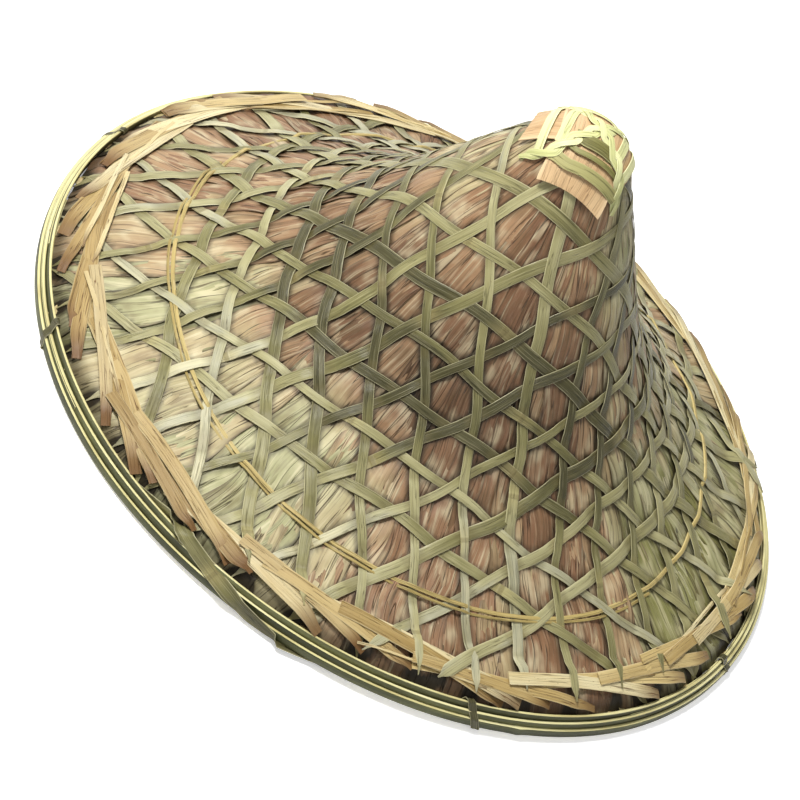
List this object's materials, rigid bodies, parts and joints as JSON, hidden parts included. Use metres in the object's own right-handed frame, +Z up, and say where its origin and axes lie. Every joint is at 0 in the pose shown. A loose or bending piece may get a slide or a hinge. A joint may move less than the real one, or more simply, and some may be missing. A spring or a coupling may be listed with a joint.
{
  "type": "conical hat",
  "caption": "Conical sun and rain hat of woven split bamboo over leaves, with a flared brim, hooped rim, capped point, head ring and chin cord.",
  "frame": {"origin": "centre of the plane that the rim rests on", "axes": "+Z up through the point of the crown, -Y to the front of the cap, +X to the wearer's left hand when the front of the cap faces forward"},
  "size_m": [0.4479, 0.448, 0.2461],
  "materials": {
    "green_strip": "split green bamboo, half matt",
    "inner_strip": "split straw-coloured bamboo, matt",
    "leaf": "dry ribbed sheath leaf, matt",
    "rim_bamboo": "bamboo skin outside, cream flesh on the edges",
    "straw_strip": "dry straw-coloured bamboo, matt",
    "cap_sheath": "tan bamboo sheath with fine grain",
    "cap_band": "olive bamboo sheath",
    "lacing": "pale green twisted bamboo fibre",
    "ring_bamboo": "straw-coloured bamboo, smooth",
    "cord": "braided pink-red cord"
  },
  "bodies": {
    "hat": {"outer_weave_front": "green_strip", "outer_weave_right": "green_strip", "outer_weave_back": "green_strip", "outer_weave_left": "green_strip", "inner_weave_front": "inner_strip", "inner_weave_right": "inner_strip", "inner_weave_back": "inner_strip", "inner_weave_left": "inner_strip", "leaf_01": "leaf", "leaf_02": "leaf", "leaf_03": "leaf", "leaf_04": "leaf", "leaf_05": "leaf", "leaf_06": "leaf", "leaf_07": "leaf", "leaf_08": "leaf", "leaf_09": "leaf", "leaf_10": "leaf", "leaf_11": "leaf", "leaf_12": "leaf", "rim_hoop_outer": "rim_bamboo", "rim_hoop_middle": "rim_bamboo", "rim_hoop_inner": "rim_bamboo", "rim_wraps": "green_strip", "brim_hoop": "straw_strip", "brim_band_inner": "straw_strip", "brim_band_middle": "straw_strip", "brim_band_outer": "straw_strip", "cap_sheath_side": "cap_sheath", "cap_sheath_front": "cap_sheath", "cap_band": "cap_band", "cap_lacing": "lacing", "head_ring": "ring_bamboo", "ring_lashings": "lacing", "cord_peg_left": "ring_bamboo", "cord_peg_right": "ring_bamboo"},
    "chin_cord": {"chin_cord": "cord"}
  },
  "joints": [
    {"name": "chin_cord_swing", "type": "hinge", "parent": "hat", "child": "chin_cord", "pos_m": [0, 0, 0.0705], "axis": [1, 0, 0], "range_deg": [0, 144]}
  ]
}
